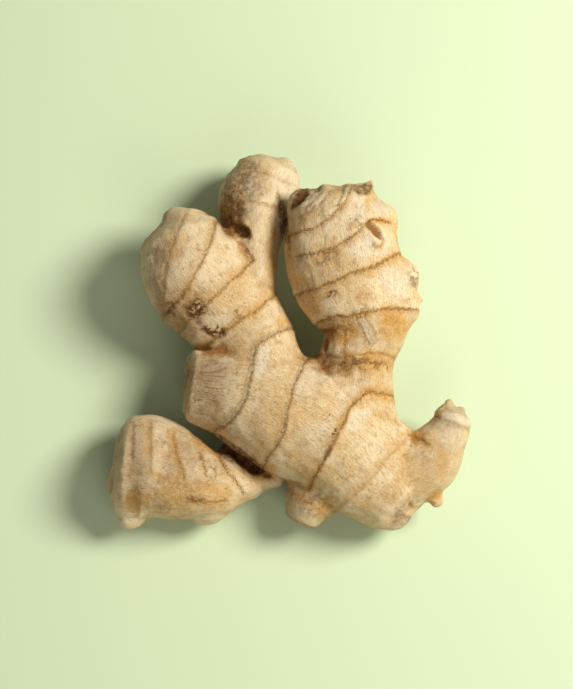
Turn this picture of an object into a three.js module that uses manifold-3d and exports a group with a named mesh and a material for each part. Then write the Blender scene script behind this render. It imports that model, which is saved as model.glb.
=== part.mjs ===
import * as THREE from 'three';
import { mergeVertices } from 'three/addons/utils/BufferGeometryUtils.js';
import Module from 'manifold-3d';

// A hand of ginger: one rhizome lying flat, with its fingers spread in the plane of the table.
// Millimetres, +Z up. The origin is under the middle of the root, on the surface it rests on.

// Driving dimensions. A finger is a row of stations from its root to its tip, and each station is
// [ x, y, z of the centre, half width across the hand, half thickness ]. Its ends are domes, and
// the dome of the tip is blunt times as long as it is wide.
const fingers = {
	body: { blunt: 0.35, stations: [
		[ - 32.5, - 15, 19, 13.5, 11.5 ],
		[ - 18, - 17.5, 19, 18, 16 ],
		[ - 1, - 24.5, 18.5, 21.5, 18.5 ],
		[ 16, - 34.5, 18, 20.5, 18.5 ],
		[ 29, - 46, 17, 18, 16.5 ],
		[ 38.5, - 55.5, 15.5, 13, 12 ],
	] },
	upper_left: { blunt: 0.5, stations: [
		[ - 6, - 12, 19, 14, 14 ],
		[ - 12, 2, 19.5, 15.5, 14.5 ],
		[ - 17.5, 9.5, 20, 17, 15.5 ],
		[ - 26, 18, 21.5, 19.5, 17 ],
		[ - 34, 28, 24, 20, 17 ],
		[ - 38.5, 37.5, 25.5, 15.5, 14 ],
	] },
	upper_middle: { blunt: 0.4, stations: [
		[ - 12, 22, 21, 8, 12 ],
		[ - 11, 35, 20, 8.5, 12.5 ],
		[ - 11, 50, 17.5, 14, 15.5 ],
		[ - 9, 57.5, 15.3, 14.5, 15.8 ],
		[ - 7, 64, 15, 12, 13.5 ],
	] },
	upper_right: { blunt: 0.5, stations: [
		[ 24, - 26, 18, 14, 13 ],
		[ 25.5, - 6, 20, 14, 13 ],
		[ 27.5, 7, 22, 16, 14.5 ],
		[ 22, 22, 25.5, 20, 17.5 ],
		[ 19, 36, 29.5, 21, 18 ],
		[ 16.5, 48.5, 32, 16.5, 14 ],
	] },
	left: { blunt: 0.5, stations: [
		[ - 3.5, - 46, 13, 4.5, 6 ],
		[ - 9.5, - 48.6, 12, 3.6, 5 ],
		[ - 12.5, - 50, 12.5, 4.8, 6 ],
		[ - 16, - 50.2, 13, 7.2, 8 ],
		[ - 20.5, - 50, 13.5, 10.2, 10.5 ],
		[ - 29, - 49, 14.5, 13.6, 13.5 ],
		[ - 38, - 46.4, 15, 16.8, 15 ],
		[ - 48, - 43.8, 15, 18.7, 15.5 ],
		[ - 56, - 43, 15, 17, 13.5 ],
	] },
	stub: { blunt: 0.35, stations: [
		[ 14, - 48, 15, 10, 10 ],
		[ 8, - 56.5, 13.5, 9, 9 ],
		[ 5.5, - 61.5, 12.5, 6.5, 7 ],
	] },
	right: { blunt: 0.6, stations: [
		[ 38, - 45, 16, 14, 11 ],
		[ 50, - 42, 17.5, 12, 9.5 ],
		[ 56.5, - 33.5, 20, 8.5, 8 ],
		[ 59.5, - 27.5, 22, 6.5, 6.5 ],
	] },
};

// Buds and knobs on the fingers, as [ root, tip, half width at the root, half width at the tip ].
const buds = [
	[ [ - 27, - 10, 19 ], [ - 31.5, - 6.5, 19 ], 6, 4.5 ],
	[ [ - 37, 37, 25 ], [ - 36.5, 43, 25 ], 10, 8 ],
	[ [ - 39, 41, 26 ], [ - 41, 46, 27 ], 6, 3 ],
	[ [ - 42, 27, 24 ], [ - 44.5, 32, 23 ], 7, 5 ],
	[ [ - 3, 58, 16 ], [ - 1.2, 67.4, 16.5 ], 6.5, 3.8 ],
	[ [ - 8, 59, 16 ], [ - 8.5, 67.5, 16 ], 6, 4 ],
	[ [ 36, 21, 27 ], [ 43, 23.5, 27 ], 9, 6.5 ],
	[ [ 34, 8, 24 ], [ 43, 12.5, 25 ], 11, 6 ],
	[ [ 44, 17, 25 ], [ 49, 15.5, 25 ], 4, 1 ],
	[ [ 29, 38, 30 ], [ 35, 45, 31 ], 9, 6 ],
	[ [ 8, 43, 32 ], [ 5, 50, 35 ], 8, 5 ],
	[ [ 13.5, 48, 35 ], [ 15, 52.5, 35.5 ], 5, 4 ],
	[ [ 26, 50, 33 ], [ 30.5, 56.5, 34 ], 6, 1.6 ],
	[ [ - 57, - 48, 15 ], [ - 62, - 48, 14 ], 7, 3 ],
	[ [ - 55, - 55, 13 ], [ - 55.5, - 62, 12 ], 7.5, 4.5 ],
	[ [ - 9, - 45.5, 9 ], [ - 22, - 37, 9 ], 4, 3 ],
	[ [ - 31, - 53, 12 ], [ - 28.5, - 60, 12 ], 8, 5.5 ],
	[ [ 33, - 54, 15 ], [ 40, - 62, 13 ], 10, 5 ],
	[ [ 42, - 50, 14 ], [ 46, - 55.5, 12 ], 6, 4 ],
	[ [ 30, - 28, 18 ], [ 37, - 34, 18 ], 9, 8 ],
	[ [ 58.5, - 25, 22 ], [ 58, - 20, 22.5 ], 4, 1.3 ],
	[ [ 51, - 49, 15 ], [ 54, - 56.5, 14 ], 5, 2.5 ],
	[ [ - 16.5, 38, 18 ], [ - 17, 40, 26 ], 5, 4.2 ],
];

// Mesh fineness: faces around a finger, rows along it for each station gap, and rows in each end.
const fingerMesh = { round: 20, rowsPerGap: 3, rowsPerEnd: 4 };
const budMesh = { round: 12, rowsPerGap: 1, rowsPerEnd: 3 };

// The place among the stations that becomes the origin. It is a little above the lowest points of
// the root, so each of the bellies it lies on is pressed to a small flat patch.
const origin = new THREE.Vector3( 0.6, 2.9, 0.5 );
const ground = { side: 200, depth: 20 };

const up = new THREE.Vector3( 0, 0, 1 );

// A capsule bent along the spine through the stations, with each section squashed to the station's size.
function finger( { blunt, stations }, { round, rowsPerGap, rowsPerEnd } ) {

	const gaps = stations.length - 1;
	const spine = new THREE.CatmullRomCurve3( stations.map( ( [ x, y, z ] ) => new THREE.Vector3( x, y, z ) ) );
	const girth = new THREE.CatmullRomCurve3( stations.map( ( [ , , , w, t ] ) => new THREE.Vector3( w, t, 0 ) ) );
	const geometry = new THREE.CapsuleGeometry( 1, 1, rowsPerEnd, round, gaps * rowsPerGap );
	const position = geometry.getAttribute( 'position' );

	for ( let i = 0; i < position.count; i ++ ) {

		const along = position.getY( i ) + 0.5;
		const t = THREE.MathUtils.clamp( along, 0, 1 );
		const { x: halfWidth, y: halfThickness } = girth.getPoint( t );
		const tangent = spine.getTangent( t );
		const across = new THREE.Vector3().crossVectors( tangent, up ).normalize();
		const over = new THREE.Vector3().crossVectors( across, tangent );
		const endLength = blunt * Math.min( halfWidth, halfThickness );
		const point = spine.getPoint( t )
			.addScaledVector( across, position.getX( i ) * halfWidth )
			.addScaledVector( over, position.getZ( i ) * halfThickness )
			.addScaledVector( tangent, ( along - t ) * endLength );
		position.setXYZ( i, point.x, point.y, point.z );

	}

	return geometry;

}

const wasm = await Module();
wasm.setup();

function solidOf( geometry ) {

	geometry.deleteAttribute( 'normal' );
	geometry.deleteAttribute( 'uv' );
	const merged = mergeVertices( geometry, 1e-4 );
	return new wasm.Manifold( new wasm.Mesh( {
		numProp: 3,
		vertProperties: merged.getAttribute( 'position' ).array,
		triVerts: new Uint32Array( merged.index.array ),
	} ) );

}

let root = null;
for ( const shape of Object.values( fingers ) ) {

	const solid = solidOf( finger( shape, fingerMesh ) );
	root = root ? root.add( solid ) : solid;

}

for ( const [ from, to, wide, narrow ] of buds ) {

	const stations = [ [ ...from, wide, wide ], [ ...to, narrow, narrow ] ];
	root = root.add( solidOf( finger( { blunt: 0.8, stations }, budMesh ) ) );

}

const table = new THREE.BoxGeometry( ground.side, ground.side, ground.depth ).translate( 0, 0, - ground.depth / 2 );
root = root.translate( origin.clone().negate().toArray() ).subtract( solidOf( table ) );

const { vertProperties, triVerts } = root.getMesh();
const geometry = new THREE.BufferGeometry()
	.setAttribute( 'position', new THREE.BufferAttribute( vertProperties, 3 ) )
	.setIndex( new THREE.BufferAttribute( triVerts, 1 ) );
geometry.computeVertexNormals();

const rhizome = new THREE.Mesh( geometry, new THREE.MeshStandardMaterial( { color: 0xcda772, roughness: 0.8, metalness: 0 } ) );
rhizome.name = 'rhizome';

const group = new THREE.Group();
group.add( rhizome );

export default group;
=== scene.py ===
"""A hand of fresh ginger lying on a pale floor.

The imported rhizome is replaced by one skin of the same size, pulled onto the smooth union of its
fingers and buds and then carved with rings, cracks, wrinkles and scars. Shape tables are in millimetres.
"""

import math

import bpy
import numpy as np
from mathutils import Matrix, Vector, noise


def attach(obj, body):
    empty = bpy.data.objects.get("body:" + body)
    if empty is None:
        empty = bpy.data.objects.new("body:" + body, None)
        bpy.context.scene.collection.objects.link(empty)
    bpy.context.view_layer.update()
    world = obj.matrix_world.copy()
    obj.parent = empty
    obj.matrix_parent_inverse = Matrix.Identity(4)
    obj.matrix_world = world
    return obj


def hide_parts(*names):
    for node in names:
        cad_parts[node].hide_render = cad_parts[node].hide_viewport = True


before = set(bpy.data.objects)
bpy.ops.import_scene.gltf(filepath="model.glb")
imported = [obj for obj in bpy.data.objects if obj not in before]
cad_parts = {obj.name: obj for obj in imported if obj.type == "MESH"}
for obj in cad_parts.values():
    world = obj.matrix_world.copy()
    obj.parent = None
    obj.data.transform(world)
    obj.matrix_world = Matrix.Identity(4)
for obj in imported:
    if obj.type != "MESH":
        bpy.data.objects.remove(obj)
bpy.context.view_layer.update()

MM = 0.001
UP = np.array([0.0, 0.0, 1.0])

# The origin of the frame, as the fingers' stations and the buds' roots and tips are measured. Creases,
# patches and pits are measured from the origin itself.
ORIGIN = np.array([0.6, 2.9, 0.5])

# Fingers: x, y, z of the centre, half width across the hand, half thickness. Blunt is how long the
# dome of each end is for its width, and melt is how far a finger flows into what it grows from.
FINGERS = {
    "body": dict(blunt=0.35, melt=8, stations=[
        (-32.5, -15, 19, 13.5, 11.5), (-18, -17.5, 19, 18, 16), (-1, -24.5, 18.5, 21.5, 18.5),
        (16, -34.5, 18, 20.5, 18.5), (29, -46, 17, 18, 16.5), (38.5, -55.5, 15.5, 13, 12)]),
    "upper_right": dict(blunt=0.5, melt=7, stations=[
        (24, -26, 18, 14, 13), (25.5, -6, 20, 14, 13), (27.5, 7, 22, 16, 14.5),
        (22, 22, 25.5, 20, 17.5), (19, 36, 29.5, 21, 18), (16.5, 48.5, 32, 16.5, 14)]),
    "upper_left": dict(blunt=0.5, melt=3.5, stations=[
        (-6, -12, 19, 14, 14), (-12, 2, 19.5, 15.5, 14.5), (-17.5, 9.5, 20, 17, 15.5),
        (-26, 18, 21.5, 19.5, 17), (-34, 28, 24, 20, 17), (-38.5, 37.5, 25.5, 15.5, 14)]),
    "upper_middle": dict(blunt=0.4, melt=3.5, stations=[
        (-12, 22, 21, 8, 12), (-11, 35, 20, 8.5, 12.5), (-11, 50, 17.5, 14, 15.5),
        (-9, 57.5, 15.3, 14.5, 15.8), (-7, 64, 15, 12, 13.5)]),
    "left": dict(blunt=0.5, melt=1.5, stations=[
        (-3.5, -46, 13, 4.5, 6), (-9.5, -48.6, 12, 3.6, 5), (-12.5, -50, 12.5, 4.8, 6),
        (-16, -50.2, 13, 7.2, 8), (-20.5, -50, 13.5, 10.2, 10.5), (-29, -49.5, 14.5, 13, 13.5),
        (-38, -47.1, 15, 16.1, 15), (-48, -43.8, 15, 18.7, 15.5), (-56, -43, 15, 17, 13.5)]),
    "stub": dict(blunt=0.35, melt=3, stations=[
        (14, -48, 15, 10, 10), (8, -56.5, 13.5, 9, 9), (5.5, -61.5, 12.5, 6.5, 7)]),
    "right": dict(blunt=0.6, melt=3, stations=[
        (38, -45, 16, 14, 11), (50, -42, 17.5, 12, 9.5), (56.5, -33.5, 20, 8.5, 8),
        (59.5, -27.5, 22, 6.5, 6.5)]),
}

# Buds and knobs: root, tip, half width at the root and at the tip, melt. The dome of every tip is
# BUD_BLUNT times as long as it is wide.
BUD_BLUNT = 0.8
BUDS = [
    ((-27, -10, 19), (-31.5, -6.5, 19), 6, 4.5, 5),
    ((-37, 37, 25), (-36.5, 43, 25), 10, 8, 4),
    ((-39, 41, 26), (-41, 46, 27), 6, 3, 4),
    ((-42, 27, 24), (-44.5, 32, 23), 7, 5, 3),
    ((-3, 58, 16), (-1.2, 67.4, 16.5), 6.5, 3.8, 3),
    ((-8, 59, 16), (-8.5, 67.5, 16), 6, 4, 3),
    ((36, 21, 27), (43, 23.5, 27), 9, 6.5, 4),
    ((34, 8, 24), (43, 12.5, 25), 11, 6, 5),
    ((44, 17, 25), (49, 15.5, 25), 4, 1, 2),
    ((29, 38, 30), (35, 45, 31), 9, 6, 4),
    ((8, 43, 32), (5, 50, 35), 8, 5, 2),
    ((13.5, 48, 35), (15, 52.5, 35.5), 5, 4, 2),
    ((26, 50, 33), (30.5, 56.5, 34), 6, 1.6, 2.5),
    ((-57, -48, 15), (-62, -48, 14), 7, 3, 3),
    ((-55, -55, 13), (-55.5, -62, 12), 7.5, 4.5, 4),
    ((-9, -45.5, 9), (-22, -37, 9), 4, 3, 3.5),
    ((-31, -53, 12), (-28.5, -60, 12), 8, 5.5, 3),
    ((33, -54, 15), (40, -62, 13), 10, 5, 6),
    ((42, -50, 14), (46, -55.5, 12), 6, 4, 4),
    ((30, -28, 18), (37, -34, 18), 9, 8, 5),
    ((58.3, -25, 22), (58, -21.4, 23), 3, 1.2, 1),
    ((57, -27, 22), (54, -22.8, 23), 3.5, 1.5, 1),
    ((60, -28, 22), (62.3, -24.6, 22.5), 3.5, 1.5, 1),
    ((51, -49, 15), (54, -56.5, 14), 5, 2.5, 2),
    ((-16.5, 38, 18), (-17, 40, 26), 5, 4.2, 2),
    ((25, 38.5, 42), (31.5, 32.5, 42.5), 5, 3, 1.5),
]

# Creases, as seen from above. A ring runs round its fingers and on past the ends of its path, and an
# open crease fades out at its ends. Cut is the depth of the crease and lip the swelling beside it;
# amber, dark and paper are how strongly it is stained, drawn and fringed.
CREASES = [
    dict(on=("body", "upper_left"), cut=0.35, lip=0.35, amber=0.5, dark=0.7, paper=1.0, path=[
        (0.5, 1.5), (-5.5, -2), (-11, -6), (-13, -15.5), (-15, -25), (-19.5, -32), (-24, -34)]),
    dict(on=("body",), cut=0.35, lip=0.3, amber=0.45, dark=0.8, paper=0.6, path=[
        (7.5, -8), (3, -18), (0.5, -27), (-2, -38), (-7, -45)]),
    dict(on=("body", "upper_right"), cut=0.35, lip=0.5, amber=1.0, dark=0.7, paper=0.3, path=[
        (38, -22), (32.5, -22), (28, -22.5), (22.5, -27.5), (19.5, -33.5), (15.5, -41.5), (11, -49.5)]),
    dict(on=("body",), cut=0.2, lip=0.2, amber=0.5, dark=0.2, paper=0.1, path=[
        (42.5, -37.5), (34, -47), (27.5, -55), (21.5, -59.5)]),
    dict(on=("upper_left",), cut=0.3, lip=0.4, amber=0.6, dark=0.6, paper=0.1, path=[
        (-25.5, 39.5), (-29, 26.5), (-36, 13), (-41, 8.5)]),
    dict(on=("upper_left",), cut=0.3, lip=0.3, amber=0.6, dark=0.6, paper=0.1, path=[
        (-11.5, 27), (-18.5, 19), (-25.5, 11.5), (-34.5, 4)]),
    dict(on=("upper_left",), cut=0.3, lip=0.3, amber=0.8, dark=0.5, paper=0.1, path=[
        (-4.5, 14), (-10.5, 7.5), (-18.5, 2), (-26, -3)]),
    dict(on=("upper_left",), cut=0.4, lip=0.4, amber=0.3, dark=0.2, paper=0.0, path=[
        (-38, 38), (-43, 22), (-45, 10)]),
    dict(on=("upper_right",), cut=0.35, lip=0.5, amber=0.5, dark=0.9, paper=0.2, path=[
        (0.5, 33.5), (8.5, 34.5), (14.5, 38.5), (20, 44), (22, 50)]),
    dict(on=("upper_right",), cut=0.4, lip=0.4, amber=0.6, dark=0.9, paper=0.3, open=True, path=[
        (0, 25), (8.5, 25.5), (17, 27.5), (24, 32.5), (27, 35)]),
    dict(on=("upper_right",), cut=0.45, lip=0.5, amber=0.8, dark=0.9, paper=0.3, path=[
        (4, 13), (13.5, 14.5), (23, 18.5), (30.5, 21), (39, 27.5)]),
    dict(on=("upper_right",), cut=0.4, lip=0.5, amber=0.9, dark=0.8, paper=0.2, path=[
        (11, 3), (17.5, 4), (23.5, 4.5), (36, 7.5), (43.5, 8)]),
    dict(on=("upper_right",), cut=0.25, lip=0.3, amber=0.6, dark=0.3, paper=0.0, path=[
        (12, -7.5), (20, -9.5), (30, -8.5), (38.5, -9)]),
    dict(on=("upper_right",), cut=0.7, lip=0.5, amber=0.2, dark=0.3, paper=0.2, open=True, path=[
        (2, 39.5), (8.5, 41.5), (12.5, 45), (15, 51)]),
    dict(on=("upper_right",), cut=0.5, lip=0.4, amber=0.1, dark=0.2, paper=0.4, open=True, path=[
        (2, 42), (7, 43.5), (10, 47), (11, 54)]),
    dict(on=("upper_right",), cut=0.5, lip=0.4, amber=0.8, dark=0.5, paper=0.0, open=True, path=[
        (23, 38), (25.5, 35.5), (28, 36)]),
    dict(on=("upper_right",), cut=0.35, lip=0.2, amber=0.8, dark=0.3, paper=0.0, open=True, path=[
        (34, 32), (33.5, 29), (31.5, 27.5), (29, 28.5)]),
    dict(on=("upper_right",), cut=0.9, lip=0.4, amber=0.2, dark=0.1, paper=0.0, open=True, path=[
        (20.3, 58), (19.7, 53), (19, 47), (17.5, 42)]),
    dict(on=("upper_right",), cut=0.7, lip=0.3, amber=1.0, dark=0.9, paper=0.0, open=True, path=[
        (28, 37.5), (32, 38.3), (38, 38.8)]),
    dict(on=("upper_right",), cut=0.5, lip=0.0, amber=0.5, dark=0.6, paper=0.3, open=True, path=[
        (24, 7), (24.5, 3), (27, -2), (30.5, -7)]),
    dict(on=("upper_right",), cut=0.3, lip=0.0, amber=0.5, dark=0.3, paper=0.2, open=True, path=[
        (26, 7), (28, 3), (30.5, -1), (32.5, -5)]),
    dict(on=("upper_right",), cut=0.4, lip=0.1, amber=0.4, dark=0.7, paper=0.0, open=True, path=[
        (20, -3), (20, -8)]),
    dict(on=("upper_left", "upper_middle"), cut=0.5, lip=0.1, amber=0.5, dark=1.0, paper=0.2, open=True,
         path=[(-15, 30.5), (-13.5, 27.5), (-11.5, 24.5)]),
    dict(on=("upper_left",), cut=0.3, lip=0.1, amber=0.4, dark=0.7, paper=0.4, open=True, path=[
        (-18.5, 7.5), (-16.5, 2.5)]),
    dict(on=("left",), cut=0.4, lip=0.15, amber=0.5, dark=1.0, paper=0.1, open=True, path=[
        (-25.5, -42.5), (-21.5, -49), (-18, -53.5), (-15.5, -58)]),
    dict(on=("left",), cut=0.35, lip=0.2, amber=0.5, dark=0.8, paper=0.0, open=True, path=[
        (-31.5, -41.5), (-29.5, -47.5), (-28.5, -52.5)]),
    dict(on=("left",), cut=0.35, lip=0.3, amber=0.8, dark=0.3, paper=0.0, open=True, path=[
        (-41, -32), (-40, -40), (-38.5, -47), (-35.5, -56)]),
    dict(on=("left",), cut=0.1, lip=0.7, amber=0.6, dark=0.1, paper=0.0, open=True, path=[
        (-49.5, -29), (-48.5, -38), (-48.5, -47), (-48, -53)]),
    dict(on=("left",), cut=0.2, lip=0.8, amber=0.2, dark=0.0, paper=0.0, open=True, path=[
        (-56, -27), (-55, -36), (-54.5, -48)]),
    dict(on=("left",), cut=0.2, lip=0.8, amber=0.2, dark=0.0, paper=0.0, open=True, path=[
        (-60, -32), (-59.5, -40), (-59, -49)]),
    dict(on=("left",), cut=0.1, lip=0.1, amber=0.7, dark=0.1, paper=0.0, open=True, path=[
        (-49, -49), (-44, -52), (-38, -51.5)]),
    dict(on=("left",), cut=0.4, lip=0.1, amber=1.0, dark=0.7, paper=0.0, open=True, path=[
        (-36, -59), (-31, -60), (-26, -60), (-20, -59.5)]),
    dict(on=("upper_left", "body"), cut=2.5, lip=0.1, amber=0.0, dark=0.1, paper=0.0, open=True, path=[
        (-42, -4), (-37, -4.8), (-32, -5.4), (-27, -6)]),
    dict(on=("body",), cut=0.6, lip=0.2, amber=0.6, dark=1.0, paper=0.0, open=True, path=[
        (43, -60), (45.5, -61.5), (49, -62.5)]),
    dict(on=("upper_middle",), cut=0.3, lip=0.3, amber=0.3, dark=0.25, paper=0.0, path=[
        (-20, 47.5), (-8.5, 46), (-1, 45.5)]),
    dict(on=("upper_middle",), cut=0.3, lip=0.3, amber=0.15, dark=0.1, paper=0.0, path=[
        (-24, 56), (-12, 58), (3, 55)]),
    dict(on=("right",), cut=0.5, lip=0.5, amber=0.3, dark=0.3, paper=0.6, path=[
        (52, -29), (57, -32), (64, -34)]),
    dict(on=("right",), cut=0.4, lip=0.5, amber=0.2, dark=0.1, paper=0.5, path=[
        (53.5, -25), (57.5, -28), (62, -28)]),
    dict(on=("right", "body"), cut=0.8, lip=0.6, amber=1.0, dark=0.4, paper=0.0, open=True, path=[
        (44, -36.5), (48, -38.5), (51, -41)]),
    dict(on=("right", "body"), cut=-0.5, lip=0.0, amber=0.5, dark=0.0, paper=0.0, open=True, path=[
        (50, -39.5), (54.5, -43), (57, -46), (56, -51), (53.5, -56)]),
    dict(on=("stub",), cut=0.3, lip=0.3, amber=0.6, dark=0.3, paper=0.0, path=[
        (1, -56), (8, -61), (16, -66)]),
]

# Patches of skin, as seen from above: x, y, half length, half width, turn in degrees, strength.
PATCHES = dict(
    amber=[
        (37.5, 2, 8, 7, -10, 1.0), (19, 0, 7, 6, 0, 0.9), (25, -11.5, 14, 5, 0, 0.9),
        (34, -22.5, 7, 3, 0, 1.0), (23, -27, 4, 2.5, 45, 0.6), (-30, -39.5, 7, 2.5, -35, 1.0),
        (-27, -60.5, 8, 2, 0, 0.9), (-8, -49.5, 4, 3, 0, 1.0), (-4.5, 29, 3, 9, 0, 0.8),
        (-5, 14, 3.5, 3, 0, 0.8), (-1, 3, 4, 4, 0, 0.7), (8, 9, 7, 3.5, -45, 0.8),
        (1, 26, 2.5, 12, 10, 0.6), (34, 38.5, 4, 1.5, 0, 1.0), (46.5, -37.5, 4, 3, -30, 1.0),
        (53.5, -58.5, 4, 4, 0, 1.0), (57.5, -22, 3, 2.5, 0, 0.7), (14, -61, 5, 3, 30, 0.7),
        (25, -60, 6, 2, -20, 0.5), (-54, -60, 6, 4, 0, 0.9), (3, -32, 5, 3, 60, 0.3),
        (13, -30, 6, 3, 40, 0.3), (-24, -7, 8, 2, 0, 0.6), (-33, 8, 6, 4, 30, 0.5),
        (-40, 30, 4, 8, -20, 0.4), (-36, -17, 2, 12, 0, 0.5), (57.5, -22.5, 3, 2, 0, 1.0),
        (54.5, -26, 3, 5, -20, 1.0), (49, -38.5, 5, 3.5, -30, 0.9), (54.5, -47, 3, 9, 10, 0.5),
        (-20, 47, 6, 9, 0, 0.9), (27.5, -24, 9, 3, 40, 0.8), (19, -33, 4, 2.5, 60, 0.8),
        (16, -42, 5, 2.5, 60, 0.6), (-34, -57.5, 19, 5, 0, 0.8), (-6, 24, 3, 9, 0, 0.9),
        (4, -47, 7, 4, -10, 0.5), (31, 34, 3.5, 2.5, -45, 1.0), (-17, 37.5, 5.5, 3.5, -38, 1.0),
    ],
    # Soiled skin, and painted shade: in the crevices between the fingers, in the shadow under the neck of
    # the upper right finger, and on sides turned away from the key light.
    soil_and_shade=[
        (-34, -20, 8, 14, 0, 0.4), (-20, 46, 6, 9, 0, 0.9), (-13, 54, 7, 7, 0, 0.55),
        (27.5, 50.5, 5, 3.5, 20, 1.0), (17, -11.5, 9, 5, -15, 0.6), (41, -66, 7, 3, -10, 0.6),
        (10, 50.5, 3, 2, 40, 0.8), (14, 1, 3, 5, 0, 0.5), (-45, 12, 3, 8, 0, 0.4),
        (-20, -36, 12, 1.5, -35, 0.2), (-43, 33, 7, 11, -20, 0.25), (-1.8, 40, 1.6, 14, 8, 1.0),
        (4.5, 47.5, 4, 5.5, -35, 0.9), (-18, -42.5, 14, 2.0, -35, 1.0), (-17.5, 41, 3, 4, 0, 0.6),
        (-36, -46, 13, 16, 0, 0.3), (-37, 6, 11, 11, 0, 0.45), (-18, 50, 8, 16, -15, 0.7),
        (-45, -58, 16, 6, 0, 0.25), (-33, -59.5, 4, 1.5, 0, 0.7),
    ],
    ash=[
        (-44, 24, 6, 14, -20, 0.7), (-54, -44, 10, 16, 0, 0.6), (-38, -46, 7, 12, 0, 0.5),
        (-27, -18, 9, 12, 0, 0.6), (6, -62, 6, 5, 0, 0.5), (36, -62, 8, 5, -20, 0.4),
        (-20, -46, 7, 6, 0, 0.5),
    ],
    # Paler skin, and painted highlight on sunlit tops, as on the tip of the right finger.
    pale=[
        (60, -31, 7, 3.5, -10, 1.0), (59, -35, 6, 8, 0, 0.4), (9, 46, 5, 5, 0, 0.5),
        (30, 29, 9, 5, 30, 0.7), (-10, -12, 3, 9, -10, 0.6), (27.5, 0.5, 6, 2, -55, 0.7),
        (38, 17, 6, 7, 0, 0.6), (24, 42, 4, 6, 0, 0.6), (0, 55, 7, 9, 0, 0.7), (33, 43, 4, 5, 0, 0.6),
        (25, -31, 8, 4, 45, 0.5), (6, -18, 5, 9, -20, 0.4), (-8, 24, 3, 8, 20, 0.4),
    ],
    scab=[
        (-33, 7, 4.5, 3.5, 0, 1.0), (-27, 0, 6.5, 2.5, -20, 1.0), (-42, 8, 3, 3, 0, 0.6),
        (13, 23.5, 6, 2.5, 20, 0.5), (15, 11.5, 3, 1.5, 20, 0.9), (45.5, 19.5, 2.5, 5, 0, 0.6),
        (-26.5, -50, 1.5, 4, 0, 0.5), (26, -12, 13, 2.5, 0, 0.7), (37.5, 2, 6, 5, -10, 0.2),
        (19, 0, 4, 4, 0, 0.5), (-22, -43.5, 8, 1.5, -35, 0.6), (8, -60, 6, 5, 0, 0.4),
        (16.5, -37, 2, 1.0, 60, 1.0), (14, -44, 3, 1.5, 60, 0.5),
    ],
    hatch=[
        (-28, -18, 8, 13, 0, 1.0), (33, -54, 13, 10, -45, 0.8), (-20, -51, 6, 7, 0, 0.5),
    ],
)

# Pits where roots and fingers broke off, and last a fold on the upper right finger whose darkness is partly
# painted shade: x, y, half length, half width, turn, depth, rim, darkness.
PITS = [
    (-17, 36.9, 4.8, 2.2, -40, 1.1, 0.6, 1.0), (4, 47, 5.2, 2.4, 55, 1.0, 0.4, 1.0),
    (-7.5, -50.2, 1.6, 1.0, -20, 0.8, 0.0, 0.8), (13, -4, 1.0, 2.6, 0, 0.9, 0.0, 0.7),
    (30.8, 34.2, 5.0, 1.8, -45, 1.8, 0.1, 0.7),
]

# Ends with rings round their middle, on the sides the photograph hides: the finger and which end, and
# how far out the rings are.
RINGED_ENDS = [("body", 0), ("upper_left", -1), ("upper_middle", -1), ("upper_right", -1),
               ("left", -1), ("stub", -1)]
END_RINGS = (0.28, 0.6, 0.85)

# Root scars over the underside: how many, their half width, and how far apart they are.
ROOT_SCARS = 16
ROOT_SCAR_SIZE = (1.1, 2.0)
ROOT_SCAR_GAP = 9
SEED = 7

# Noise, as layers: how strong, how many millimetres its lumps are, and a seed.
LUMPS = [(0.7, 13, 3.1), (0.4, 6, 17.7)]
GRIT = [(0.16, 2.4, 29.9)]
WRINKLES = [(0.15, (1.7, 1.7, 10), 5.3)]
SCAB_GRIT = [(0.15, 1.1, 91.3)]
RING_WANDER = [(0.6, 6, 41.3), (0.35, 1.7, 51.3)]
RING_UNEVEN = [(0.6, 5, 61.7)]
END_RING_WANDER = [(0.9, 5, 23.1)]
PIT_EDGE = [(0.25, 1.5, 71.9)]
PATCH_EDGE = [(0.3, 4, 81.1), (0.15, 1.5, 85.1)]

# How far a ring runs on past the ends of its path, and the distance that stands for no ring nearby.
RING_RUN_ON = 14
FAR = 9.0

# The grain is measured round a circle of this radius, so every finger has as many fibres round it.
GRAIN_RADIUS = 15

# The size of a mesh face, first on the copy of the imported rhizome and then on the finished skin, and
# how many times each mesh is pulled tight onto the union.
FIRST_VOXEL = 0.6
LAST_VOXEL = 0.73
PULLS = 4


def unit(rows):
    return rows / np.maximum(np.linalg.norm(rows, axis=-1, keepdims=True), 1e-9)


def spline(rows, steps):
    """Points of a smooth curve through the rows, with this many between one row and the next."""
    rows = np.array(rows, float)
    before, after = 2 * rows[0] - rows[1], 2 * rows[-1] - rows[-2]
    rows = np.vstack([before, rows, after])
    t = np.linspace(0, 1, steps, endpoint=False)[:, None]
    parts = []
    for a, b, c, d in zip(rows, rows[1:], rows[2:], rows[3:]):
        bend = (2 * a - 5 * b + 4 * c - d) * t**2 + (3 * b - a - 3 * c + d) * t**3
        parts.append(0.5 * (2 * b + (c - a) * t + bend))
    return np.vstack(parts + [rows[-2:-1]])


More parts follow.
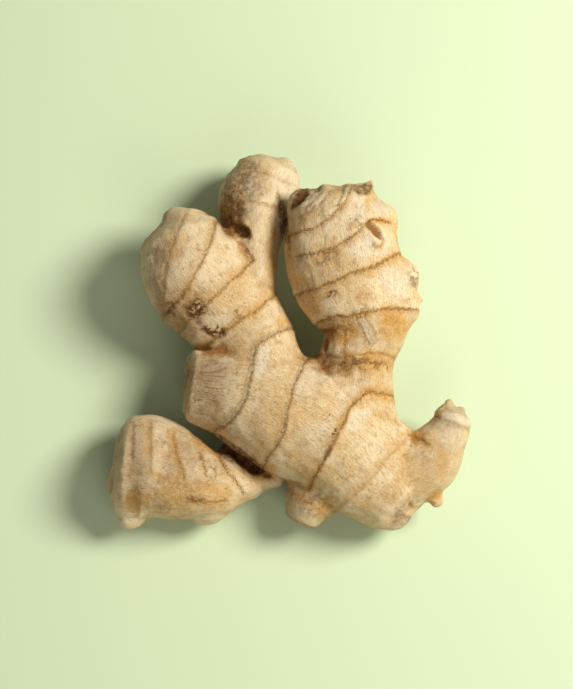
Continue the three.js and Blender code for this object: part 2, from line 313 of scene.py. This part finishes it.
class Limb:
    """A finger or a bud: squashed round sections along a spine, closed by domes."""

    def __init__(self, stations, blunt, melt, steps=24):
        rows = spline(stations, steps)
        self.centre = rows[:, :3] - ORIGIN
        self.wide, self.thick = rows[:, 3], rows[:, 4]
        self.along = unit(np.gradient(self.centre, axis=0))
        self.across = unit(np.cross(self.along, UP))
        self.over = np.cross(self.across, self.along)
        self.dome = blunt * np.minimum(self.wide, self.thick)
        self.reach = np.append(0, np.cumsum(np.linalg.norm(np.diff(self.centre, axis=0), axis=1)))
        self.melt = melt

    def measure(self, points):
        """Distance of each point from the limb's skin, the way out, and (across, over, along)."""
        nearest = ((self.centre**2).sum(1) - 2 * points @ self.centre.T).argmin(1)
        last = len(self.centre) - 1
        offset = points - self.centre[nearest]
        across = (offset * self.across[nearest]).sum(1)
        over = (offset * self.over[nearest]).sum(1)
        along = (offset * self.along[nearest]).sum(1)
        before, beyond = np.minimum(along, 0), np.maximum(along, 0)
        past = np.where(nearest == 0, before, np.where(nearest == last, beyond, 0))
        half = np.stack([self.wide[nearest], self.thick[nearest], self.dome[nearest]], 1)
        spot = np.stack([across, over, past], 1)
        share = np.linalg.norm(spot / half, axis=1) + 1e-9
        slope = spot / half**2
        steepness = np.linalg.norm(slope, axis=1) + 1e-9
        out = (slope[:, :1] * self.across[nearest] + slope[:, 1:2] * self.over[nearest]
               + slope[:, 2:] * self.along[nearest])
        local = np.stack([across, over, self.reach[nearest] + along], 1)
        return share * (share - 1) / steepness, unit(out), local


def grow_limbs():
    fingers = {name: Limb(f["stations"], f["blunt"], f["melt"]) for name, f in FINGERS.items()}
    buds = []
    for root, tip, wide, narrow, melt in BUDS:
        buds.append(Limb([(*root, wide, wide), (*tip, narrow, narrow)], BUD_BLUNT, melt))
    return fingers, buds


def union(points, limbs):
    """Distance of each point from the melted union of the limbs, and its slope."""
    total, slope, _ = limbs[0].measure(points)
    for limb in limbs[1:]:
        distance, out, _ = limb.measure(points)
        mix = np.maximum(limb.melt - np.abs(total - distance), 0) / limb.melt
        share = np.where(distance < total, 1 - mix / 2, mix / 2)[:, None]
        total = np.minimum(total, distance) - mix * mix * limb.melt / 4
        slope = slope * (1 - share) + out * share
    return total, slope


def positions(mesh):
    out = np.empty(len(mesh.vertices) * 3)
    mesh.vertices.foreach_get("co", out)
    return out.reshape(-1, 3) / MM


def place(mesh, points):
    mesh.vertices.foreach_set("co", (points * MM).ravel())
    mesh.update()


def normals(mesh):
    out = np.empty(len(mesh.vertices) * 3)
    mesh.vertex_normals.foreach_get("vector", out)
    return out.reshape(-1, 3)


def select_only(piece):
    for other in bpy.context.selected_objects:
        other.select_set(False)
    piece.select_set(True)
    bpy.context.view_layer.objects.active = piece


def remesh(piece, size):
    select_only(piece)
    modifier = piece.modifiers.new("even", "REMESH")
    modifier.mode = "VOXEL"
    modifier.voxel_size = size * MM
    bpy.ops.object.modifier_apply(modifier=modifier.name)


def pull_tight(points, limbs):
    for _ in range(PULLS):
        distance, slope = union(points, limbs)
        strength = np.maximum((slope**2).sum(1), 0.25)
        points = points - slope * (distance / strength)[:, None]
    return points


def blank(limbs):
    """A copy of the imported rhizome, meshed evenly and pulled onto the melted union."""
    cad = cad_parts["rhizome"]
    mesh = cad.data.copy()
    mesh.materials.clear()
    piece = bpy.data.objects.new("ginger_root", mesh)
    bpy.context.scene.collection.objects.link(piece)
    select_only(piece)
    bpy.ops.object.mode_set(mode="EDIT")
    bpy.ops.mesh.select_all(action="SELECT")
    bpy.ops.mesh.remove_doubles(threshold=0.00001)
    bpy.ops.object.mode_set(mode="OBJECT")
    for size in (FIRST_VOXEL, LAST_VOXEL):
        remesh(piece, size)
        place(piece.data, pull_tight(positions(piece.data), limbs))
    return piece


# Carving

def noise_at(points, size, seed):
    """Smooth noise from -1 to 1 whose lumps are about this many millimetres."""
    spots = points / np.asarray(size, float) + seed
    return np.array([noise.noise(spot) for spot in spots])


def layered(points, layers):
    return sum(strength * noise_at(points, size, seed) for strength, size, seed in layers)


def fade(value, start, end):
    """0 at start and 1 at end, smoothly."""
    t = np.clip((value - start) / (end - start), 0, 1)
    return t * t * (3 - 2 * t)


def hill(distance, width):
    """1 at a distance of 0, and nearly 0 from twice the width on."""
    return np.exp(-((distance / width) ** 2))


def upper_side(points, out, low, high):
    """1 on skin that is above high and doesn't face down, and 0 on the underside and below low."""
    return fade(points[:, 2], low, high) * fade(out[:, 2], -0.3, 0.1)


def distance_to_path(points, path):
    """Signed distance in plan from a path, and how far along it, 0 to 1, each point is."""
    starts, steps = path[:-1], np.diff(path, axis=0)
    best = np.full(len(points), 1e9)
    side = np.zeros(len(points))
    where = np.zeros(len(points))
    for k, (start, step) in enumerate(zip(starts, steps)):
        offset = points - start
        t = np.clip(offset @ step / (step @ step), 0, 1)
        gap = np.linalg.norm(offset - t[:, None] * step, axis=1)
        nearer = gap < best
        best[nearer] = gap[nearer]
        side[nearer] = np.sign(step[0] * offset[:, 1] - step[1] * offset[:, 0])[nearer]
        where[nearer] = ((k + t) / len(steps))[nearer]
    return best * side, where


def in_ellipse(points, x, y, length, width, turn):
    """How far out each point is in plan, where 1 is the edge of the ellipse."""
    angle = math.radians(turn)
    dx, dy = points[:, 0] - x, points[:, 1] - y
    lengthways = dx * math.cos(angle) + dy * math.sin(angle)
    sideways = dy * math.cos(angle) - dx * math.sin(angle)
    return np.hypot(lengthways / length, sideways / width)


def smoothed(points, edges, rounds):
    """The points moved to the middle of their neighbours, this many times over."""
    first, second = edges.T
    size = len(points)
    neighbours = np.bincount(first, minlength=size) + np.bincount(second, minlength=size)
    for _ in range(rounds):
        total = [np.bincount(first, points[second, k], size) + np.bincount(second, points[first, k], size)
                 for k in range(3)]
        points = np.stack(total, 1) / neighbours[:, None]
    return points


def edge_pairs(mesh):
    out = np.empty(len(mesh.edges) * 2, np.int32)
    mesh.edges.foreach_get("vertices", out)
    return out.reshape(-1, 2)


def finger_coordinates(points, fingers):
    """Per finger: distance from it, and a point that runs round it and along it in millimetres."""
    gaps, grains = [], []
    for finger in fingers.values():
        distance, _, local = finger.measure(points)
        radius = np.linalg.norm(local[:, :2], axis=1, keepdims=True)
        gaps.append(distance)
        grains.append(np.hstack([local[:, :2] / np.maximum(radius, 1e-6) * GRAIN_RADIUS, local[:, 2:]]))
    return np.array(gaps), np.array(grains)


def nearest_finger(points, gaps):
    """The finger whose grain each point takes, with ragged borders between the fingers."""
    ragged = [1.2 * noise_at(points, 4, 11.3 + 7 * k) for k in range(len(gaps))]
    return (gaps + ragged).argmin(0)


def crease_path(crease):
    path = spline(crease["path"], steps=6)
    if crease.get("open"):
        return path
    first, last = unit(path[0] - path[1]), unit(path[-1] - path[-2])
    return np.vstack([path[0] + first * RING_RUN_ON, path, path[-1] + last * RING_RUN_ON])


def crease_lift(crease, signed, uneven):
    """Lift beside and in one crease: a swelling, a step from one side to the other, the groove and a
    papery fringe."""
    gap = np.abs(signed)
    swelling = crease["lip"] * (0.6 * hill(gap, 3.5) - 0.2)
    step = crease["lip"] * 0.5 * np.exp(-gap / 2.5) * np.sign(signed) * fade(gap, 0, 0.8)
    groove = crease["cut"] * 0.6 * uneven * hill(gap, 0.65)
    fringe = crease["paper"] * 0.12 * hill(signed + 0.9, 0.5) * np.clip(uneven, 0, 1)
    return swelling + step - groove + fringe


def crease_relief(points, out, gaps, names):
    """Lift from the creases, the signed distance to the nearest one, and what it is drawn with."""
    wander = layered(points, RING_WANDER)
    uneven = 0.6 + layered(points, RING_UNEVEN)
    above = upper_side(points, out, 8, 14)
    nearest = gaps.min(0)
    lift, line = np.zeros(len(points)), np.full(len(points), FAR)
    marks = {key: np.zeros(len(points)) for key in ("amber", "dark", "paper")}
    for crease in CREASES:
        own = np.min([gaps[names.index(name)] for name in crease["on"]], axis=0)
        held = fade(own - nearest, 2.0, 0.4)
        signed, where = distance_to_path(points[:, :2], crease_path(crease))
        if crease.get("open"):
            held = held * fade(where, 0, 0.15) * fade(where, 1, 0.85) * above
        signed = signed + wander
        gap = np.abs(signed)
        nearer = (gap < np.abs(line)) & (held > 0.02)
        line[nearer] = signed[nearer]
        lift += held * crease_lift(crease, signed, uneven)
        spread = np.where(signed < 0, 4.5, 1.8) * np.clip(uneven + 0.3, 0.3, 1.5)
        reach = dict(amber=fade(gap, spread, 0.2), dark=fade(gap, 2.2, 1.2), paper=fade(gap, 2.2, 1.2))
        for key, near in reach.items():
            marks[key] = np.maximum(marks[key], held * crease[key] * near)
    return lift, line, marks


def end_rings(points, out, fingers):
    """Lift, signed distance and strength of the rings round the hidden ends of the fingers."""
    wander = layered(points, END_RING_WANDER)
    hidden = fade(out[:, 2], 0.5, 0.2)
    lift, line = np.zeros(len(points)), np.full(len(points), FAR)
    strength = np.zeros(len(points))
    for name, end in RINGED_ENDS:
        finger = fingers[name]
        distance, _, local = finger.measure(points)
        beyond = local[:, 2] - finger.reach[-1] if end else -local[:, 2]
        rim = np.hypot(local[:, 0] / finger.wide[end], local[:, 1] / finger.thick[end])
        held = fade(beyond, 0, 1.5) * fade(distance, 3, 1) * hidden
        for ring in END_RINGS:
            signed = (rim - ring) * finger.wide[end] + wander
            gap = np.abs(signed)
            nearer = (gap < np.abs(line)) & (held > 0.02)
            line[nearer] = signed[nearer]
            strength = np.maximum(strength, held * fade(gap, 2.2, 1.2))
            lift += held * (0.3 * hill(gap, 2.5) - 0.35 * hill(gap, 0.65))
    return lift, line, strength


def root_scars(points, out):
    """Lift and darkness of the round scars left by the roots on the underside."""
    rng = np.random.default_rng(SEED)
    below = np.flatnonzero((out[:, 2] < -0.25) & (points[:, 2] > 1.5))
    centres = []
    for index in rng.permutation(below):
        spot = points[index]
        if all(np.linalg.norm(spot - other) > ROOT_SCAR_GAP for other in centres):
            centres.append(spot)
        if len(centres) == ROOT_SCARS:
            break
    lift, dark = np.zeros(len(points)), np.zeros(len(points))
    for centre in centres:
        r = np.linalg.norm(points - centre, axis=1) / rng.uniform(*ROOT_SCAR_SIZE)
        lift += 0.5 * hill(r - 1.15, 0.4) - 0.5 * fade(r, 1, 0.4)
        dark = np.maximum(dark, fade(r, 1.0, 0.6))
    return lift, dark


def pit_relief(points, out):
    lift, dark = root_scars(points, out)
    ragged = layered(points, PIT_EDGE)
    above = upper_side(points, out, 4, 8)
    for x, y, length, width, turn, depth, rim, darkness in PITS:
        r = in_ellipse(points, x, y, length, width, turn) + ragged
        lift += above * (rim * hill(r - 1.2, 0.3) - depth * fade(r, 1.05, 0.5))
        dark = np.maximum(dark, darkness * above * fade(r, 1.15, 0.8))
    return lift, dark


def patch_masks(points, out):
    """How strongly each kind of patch marks each point."""
    ragged = layered(points, PATCH_EDGE)
    above = fade(out[:, 2], -0.35, 0.1)
    masks = {}
    for kind, patches in PATCHES.items():
        masks[kind] = np.zeros(len(points))
        for x, y, length, width, turn, strength in patches:
            r = in_ellipse(points, x, y, length, width, turn) + ragged
            masks[kind] = np.maximum(masks[kind], strength * above * fade(r, 1.15, 0.55))
    return masks


def carve(piece, fingers):
    """Carves the skin and writes what the material reads at each point of it."""
    points = positions(piece.data)
    out = normals(piece.data)
    gaps, grains = finger_coordinates(points, fingers)
    owner = nearest_finger(points, gaps)
    own_grain = grains[owner, np.arange(len(points))]

    creases, line, marks = crease_relief(points, out, gaps, list(fingers))
    ends, end_line, end_mark = end_rings(points, out, fingers)
    line = np.where(np.abs(end_line) < np.abs(line), end_line, line)
    pits, pit = pit_relief(points, out)
    masks = patch_masks(points, out)

    lift = layered(points, LUMPS) + layered(own_grain, WRINKLES) + layered(points, GRIT)
    lift += creases + ends + pits + masks["scab"] * layered(points, SCAB_GRIT)
    points = points + out * lift[:, None]
    points[:, 2] = np.maximum(points[:, 2], 0)
    place(piece.data, points)

    out = normals(piece.data)
    edges = edge_pairs(piece.data)
    # How far the skin curves in, at a small and a large size, for the painted shade in hollows and clefts.
    near = smoothed(points, edges, rounds=12)
    far = smoothed(near, edges, rounds=90)
    hollow = ((near - points) * out).sum(1)
    cleft = ((far - points) * out).sum(1)
    marks["dark"] = np.maximum(marks["dark"], 0.6 * end_mark)
    masks["amber"] = np.maximum(np.maximum(masks["amber"], marks.pop("amber")), 0.5 * end_mark)
    # Painted shade: darker on skin that faces down, mixed in with the soiled patches.
    masks["soil_and_shade"] = np.maximum(masks["soil_and_shade"], 0.45 * fade(out[:, 2], 0.35, -0.3))
    write_values(piece.data, dict(line=line, pit=pit, hollow=hollow, cleft=cleft, **marks, **masks))
    write_grain(piece.data, grains, owner)


def write_values(mesh, values):
    for name, value in values.items():
        layer = mesh.attributes.new(name, "FLOAT", "POINT")
        layer.data.foreach_set("value", np.asarray(value, np.float32))


def write_grain(mesh, grains, owner):
    """Along-the-finger coordinates at each face corner, all from the finger that owns the face."""
    corner_vertex = np.empty(len(mesh.loops), np.int32)
    mesh.loops.foreach_get("vertex_index", corner_vertex)
    starts = np.empty(len(mesh.polygons), np.int32)
    totals = np.empty(len(mesh.polygons), np.int32)
    mesh.polygons.foreach_get("loop_start", starts)
    mesh.polygons.foreach_get("loop_total", totals)
    face_owner = owner[corner_vertex[starts]]
    corner_owner = np.repeat(face_owner, totals)
    grain = grains[corner_owner, corner_vertex]
    layer = mesh.attributes.new("grain", "FLOAT_VECTOR", "CORNER")
    layer.data.foreach_set("vector", grain.astype(np.float32).ravel())


# Material

def srgb(red, green, blue):
    """The linear colour of an 8 bit screen colour."""
    def linear(value):
        value /= 255
        return value / 12.92 if value <= 0.04045 else ((value + 0.055) / 1.055) ** 2.4
    return (linear(red), linear(green), linear(blue), 1.0)


# Colours of the skin, from the palest to the darkest, and of the floor.
PALE = srgb(253, 243, 216)
FLAKE = srgb(255, 234, 184)
CREAM = srgb(250, 228, 181)
STRAW = srgb(230, 194, 130)
# SHADE below is painted shade, multiplied over the hollows and clefts.
SHADE = srgb(216, 186, 138)
AMBER = srgb(222, 162, 68)
ASH = srgb(196, 158, 112)
TAN = srgb(198, 144, 66)
RUST = srgb(190, 126, 48)
# The scar brown below also stands for painted shade in one fold.
SCAR_AND_SHADE = srgb(146, 100, 44)
# The dark brown below is for soiled skin and for painted shade alike.
SOIL_AND_SHADE = srgb(118, 76, 28)
BARK = srgb(100, 60, 22)
DEEP = srgb(56, 34, 14)
FLOOR = srgb(219, 235, 194)


class Wiring:
    """Short ways to add nodes to a material. Every value may be a number, a colour or a socket."""

    def __init__(self, tree):
        self.tree = tree

    def set(self, socket, value):
        if isinstance(value, bpy.types.NodeSocket):
            self.tree.links.new(value, socket)
        else:
            socket.default_value = value

    def attribute(self, name, vector=False):
        node = self.tree.nodes.new("ShaderNodeAttribute")
        node.attribute_name = name
        return node.outputs["Vector" if vector else "Fac"]

    def math(self, operation, *values):
        node = self.tree.nodes.new("ShaderNodeMath")
        node.operation = operation
        for socket, value in zip(node.inputs, values):
            self.set(socket, value)
        return node.outputs[0]

    def times(self, *values):
        return self.math("MULTIPLY", *values)

    def most(self, *values):
        return self.math("MAXIMUM", *values)

    def scaled(self, vector, scale):
        node = self.tree.nodes.new("ShaderNodeVectorMath")
        node.operation = "MULTIPLY"
        self.set(node.inputs[0], vector)
        self.set(node.inputs[1], scale)
        return node.outputs[0]

    def noise(self, vector, scale, detail=2.0, roughness=0.5):
        node = self.tree.nodes.new("ShaderNodeTexNoise")
        self.set(node.inputs["Vector"], vector)
        self.set(node.inputs["Scale"], scale)
        self.set(node.inputs["Detail"], detail)
        self.set(node.inputs["Roughness"], roughness)
        return node.outputs["Fac"]

    def span(self, value, low, high, to_low=0.0, to_high=1.0):
        """The value, from low to high, made to run smoothly from to_low to to_high."""
        node = self.tree.nodes.new("ShaderNodeMapRange")
        node.interpolation_type = "SMOOTHSTEP"
        self.set(node.inputs["Value"], value)
        for name, number in zip(("From Min", "From Max", "To Min", "To Max"), (low, high, to_low, to_high)):
            self.set(node.inputs[name], number)
        return node.outputs[0]

    def mix(self, share, first, second, blend="MIX"):
        node = self.tree.nodes.new("ShaderNodeMix")
        node.data_type = "RGBA"
        node.blend_type = blend
        self.set(node.inputs[0], share)
        self.set(node.inputs[6], first)
        self.set(node.inputs[7], second)
        return node.outputs[2]

    def bump(self, height, distance, strength=1.0, normal=None):
        node = self.tree.nodes.new("ShaderNodeBump")
        self.set(node.inputs["Strength"], strength)
        self.set(node.inputs["Distance"], distance)
        self.set(node.inputs["Height"], height)
        if normal is not None:
            self.set(node.inputs["Normal"], normal)
        return node.outputs["Normal"]


def new_material(name):
    material = bpy.data.materials.new(name)
    material.use_nodes = True
    tree = material.node_tree
    tree.nodes.clear()
    shader = tree.nodes.new("ShaderNodeBsdfPrincipled")
    output = tree.nodes.new("ShaderNodeOutputMaterial")
    tree.links.new(shader.outputs[0], output.inputs["Surface"])
    return material, shader, Wiring(tree)


class SkinPatterns:
    """The patterns that the skin is drawn with, and how far it is to the nearest ring."""

    def __init__(self, w):
        object_place = w.tree.nodes.new("ShaderNodeTexCoord").outputs["Object"]
        self.place = w.scaled(object_place, (1 / MM, 1 / MM, 1 / MM))
        self.broad = w.noise(self.place, 0.07, 3, 0.55)
        self.cloud = w.noise(self.place, 0.3, 5, 0.65)
        self.patchy = w.span(self.cloud, 0.3, 0.6, 0.55, 1.0)
        self.blotch = w.noise(self.place, 0.55, 4, 0.7)
        self.dots = w.noise(self.place, 1.15, 4, 0.7)
        self.inside = w.noise(self.place, 1.2, 4, 0.7)
        grain = w.attribute("grain", vector=True)
        self.fibre = w.noise(w.scaled(grain, (3.4, 3.4, 0.35)), 1.0, 3, 0.65)
        self.fine = w.noise(w.scaled(grain, (6.5, 6.5, 1.8)), 1.0, 2, 0.5)
        self.hair = w.noise(w.scaled(grain, (2.2, 2.2, 0.16)), 1.0, 2, 0.6)
        jags = w.span(w.noise(self.place, 1.5, 5, 0.75), 0.28, 0.72, -0.8, 0.8)
        self.line = w.math("ADD", w.attribute("line"), jags)
        self.near = w.math("ABSOLUTE", self.line)


def skin_tone(w, pattern):
    """Broad and cloudy changes of tone."""
    colour = w.mix(w.span(pattern.broad, 0.36, 0.64), STRAW, CREAM)
    colour = w.mix(w.span(pattern.cloud, 0.5, 0.75, 0.0, 0.8), colour, TAN)
    colour = w.mix(w.span(pattern.cloud, 0.44, 0.25, 0.0, 0.6), colour, PALE)
    colour = w.mix(w.times(w.attribute("ash"), pattern.patchy), colour, ASH)
    # The pale patches are partly painted highlight.
    return w.mix(w.times(w.attribute("pale"), pattern.patchy), colour, PALE)


def fibres(w, pattern, colour):
    """Fibres along the finger, and hair cracks where the skin is dry."""
    colour = w.mix(w.span(pattern.fibre, 0.55, 0.35, 0.0, 0.45), colour, TAN, "MULTIPLY")
    colour = w.mix(w.span(pattern.fine, 0.52, 0.72, 0.0, 0.8), colour, PALE)
    cracks = w.times(w.attribute("hatch"), w.span(pattern.hair, 0.6, 0.68, 0.0, 0.9))
    return w.mix(cracks, colour, RUST), cracks


def stains(w, pattern, colour):
    """Amber, strongest along the rings, then the dark brown of soiled skin and of painted shade."""
    mottle = w.times(w.span(pattern.blotch, 0.36, 0.56, 0.6, 1.0), w.span(pattern.dots, 0.4, 0.55, 0.6, 1.0))
    mottle = w.most(mottle, w.span(pattern.near, 0.3, 1.2, 0.9, 0.0))
    colour = w.mix(w.span(pattern.dots, 0.5, 0.66, 0.0, 0.25), colour, AMBER)
    colour = w.mix(w.times(w.attribute("amber"), mottle), colour, AMBER)
    # Soiled skin and painted shade share this one mask and one dark brown.
    soil_and_shade = w.times(w.attribute("soil_and_shade"), w.span(pattern.blotch, 0.35, 0.6, 0.4, 1.0))
    return w.mix(soil_and_shade, colour, SOIL_AND_SHADE), soil_and_shade


def hollows(w, pattern, colour, soil_and_shade):
    """Painted shade in the hollows and clefts, and paler where the skin stands out, less so on soiled and
    shaded skin.
    """
    cleft = w.attribute("cleft")
    # Painted shade: darker in small hollows and in clefts.
    colour = w.mix(w.span(w.attribute("hollow"), 0.02, 0.35, 0.0, 0.5), colour, SHADE, "MULTIPLY")
    colour = w.mix(w.span(cleft, 0.1, 1.6), colour, SHADE, "MULTIPLY")
    raised_pale = w.times(w.span(cleft, -0.5, -1.6, 0.0, 0.5), w.math("SUBTRACT", pattern.patchy, soil_and_shade))
    return w.mix(raised_pale, colour, CREAM)


def ring_lines(w, pattern, colour):
    """The line of each ring: broken, with dots and pale flakes beside it."""
    core = w.times(w.span(pattern.near, 0.12, 0.3, 1.0, 0.0), w.span(pattern.blotch, 0.4, 0.5, 0.5, 1.0))
    beside = w.times(w.span(pattern.near, 0.3, 1.5, 0.7, 0.0), w.span(pattern.dots, 0.57, 0.63))
    dark = w.times(w.attribute("dark"), w.most(core, beside))
    colour = w.mix(dark, colour, w.mix(w.span(pattern.dots, 0.52, 0.64), RUST, BARK))
    fringe = w.math("ABSOLUTE", w.math("ADD", pattern.line, 0.8))
    flake = w.times(w.span(fringe, 0.25, 0.45, 1.0, 0.0), w.span(pattern.blotch, 0.58, 0.5))
    paper = w.times(w.attribute("paper"), flake)
    return w.mix(paper, colour, FLAKE), dark, paper


def crusts(w, pattern, colour, dark):
    """Scabs and specks, and pale scurf on the rest of the skin."""
    crust = w.noise(pattern.place, 0.5, 4, 0.62)
    scab = w.times(w.attribute("scab"), w.span(crust, 0.47, 0.53))
    specks = w.span(w.noise(pattern.place, 1.9, 2, 0.5), 0.67, 0.73, 0.0, 0.8)
    crusted = w.most(scab, specks)
    colour = w.mix(crusted, colour, w.mix(w.span(pattern.dots, 0.5, 0.7), BARK, RUST))
    scurf = w.span(w.noise(pattern.place, 2.4, 3, 0.6), 0.6, 0.7, 0.0, 0.6)
    scurf = w.math("SUBTRACT", scurf, w.most(crusted, dark))
    return w.mix(scurf, colour, PALE), scab, specks


def pit_floors(w, pattern, colour):
    pit = w.attribute("pit")
    deep = w.times(w.span(pit, 0.6, 1.0), w.span(pattern.inside, 0.5, 0.4))
    # Scar brown on the pit floors, partly painted shade in the fold on the upper right finger.
    return w.mix(pit, colour, w.mix(deep, SCAR_AND_SHADE, DEEP)), pit


def skin_material():
    material, shader, w = new_material("ginger_skin")
    pattern = SkinPatterns(w)
    colour = skin_tone(w, pattern)
    colour, cracks = fibres(w, pattern, colour)
    colour, soil_and_shade = stains(w, pattern, colour)
    colour = hollows(w, pattern, colour, soil_and_shade)
    colour, dark, paper = ring_lines(w, pattern, colour)
    colour, scab, specks = crusts(w, pattern, colour, dark)
    colour, pit = pit_floors(w, pattern, colour)
    w.set(shader.inputs["Base Color"], colour)
    w.set(shader.inputs["Roughness"], w.span(pattern.fibre, 0.3, 0.7, 0.7, 0.45))
    shader.inputs["Specular IOR Level"].default_value = 0.28

    # Relief too fine for the mesh, with heights in metres
    crackle = w.noise(pattern.place, 0.9, 6, 0.75)
    weave = w.math("ADD", pattern.fibre, w.times(pattern.fine, 0.4))
    sunk = w.most(w.times(w.most(dark, cracks), 0.5), specks)
    raised = w.math("ADD", paper, w.times(scab, 0.5))
    normal = w.bump(crackle, 0.0008, 0.8)
    normal = w.bump(weave, 0.0005, 0.8, normal)
    normal = w.bump(w.math("SUBTRACT", raised, sunk), 0.0004, 1.0, normal)
    normal = w.bump(pattern.inside, 0.0008, pit, normal)
    w.set(shader.inputs["Normal"], normal)
    return material


def floor_material():
    material, shader, _ = new_material("pale_floor")
    shader.inputs["Base Color"].default_value = FLOOR
    shader.inputs["Roughness"].default_value = 0.9
    return material


# Stage

FLOOR_SIDE = 6
WARM_WHITE = (1.0, 0.97, 0.92)
# Soft round lights: name, direction, distance and width in metres, and watts.
LIGHTS = [
    ("key", (0.66, 0.2, 0.72), 1.0, 0.42, 11.3),
    ("fill", (0.25, -0.75, 0.6), 1.2, 0.8, 3.1),
]
ROOM_COLOUR = (1.0, 0.98, 0.95, 1.0)
ROOM_STRENGTH = 0.17

# Camera: high over the lower edge of the hand, looking down at 80 degrees.
CAMERA_TILT = math.radians(80)
CAMERA_DISTANCE = 0.9
CAMERA_AIM = Vector((-0.6, -2.9, 19.5)) * MM
PHOTO_HEIGHT = 689
METRES_PER_PIXEL = 0.00036
SENSOR = 36


def make_floor():
    bpy.ops.mesh.primitive_plane_add(size=FLOOR_SIDE)
    floor = bpy.context.object
    floor.name = "floor"
    floor.data.materials.append(floor_material())


def soft_light(name, direction, distance, size, watts):
    light = bpy.data.lights.new(name, "AREA")
    light.shape = "DISK"
    light.size = size
    light.energy = watts
    light.color = WARM_WHITE
    lamp = bpy.data.objects.new(name, light)
    lamp.location = Vector(direction).normalized() * distance
    lamp.rotation_euler = Vector(direction).to_track_quat("Z", "Y").to_euler()
    bpy.context.scene.collection.objects.link(lamp)


def make_light():
    for light in LIGHTS:
        soft_light(*light)
    world = bpy.data.worlds.new("soft_room")
    world.use_nodes = True
    background = world.node_tree.nodes["Background"]
    background.inputs["Color"].default_value = ROOM_COLOUR
    background.inputs["Strength"].default_value = ROOM_STRENGTH
    bpy.context.scene.world = world


def make_camera():
    data = bpy.data.cameras.new("camera")
    data.sensor_fit = "VERTICAL"
    data.sensor_height = SENSOR
    data.lens = SENSOR * CAMERA_DISTANCE / (PHOTO_HEIGHT * METRES_PER_PIXEL)
    camera = bpy.data.objects.new("camera", data)
    away = Vector((0, -math.cos(CAMERA_TILT), math.sin(CAMERA_TILT)))
    camera.location = CAMERA_AIM + away * CAMERA_DISTANCE
    camera.rotation_euler = away.to_track_quat("Z", "Y").to_euler()
    bpy.context.scene.collection.objects.link(camera)
    bpy.context.scene.camera = camera
    bpy.context.scene.view_settings.view_transform = "Standard"


def make_ginger():
    fingers, buds = grow_limbs()
    piece = blank(list(fingers.values()) + buds)
    carve(piece, fingers)
    for polygon in piece.data.polygons:
        polygon.use_smooth = True
    piece.data.materials.append(skin_material())
    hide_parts("rhizome")
    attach(piece, "root")


make_ginger()
make_floor()
make_light()
make_camera()
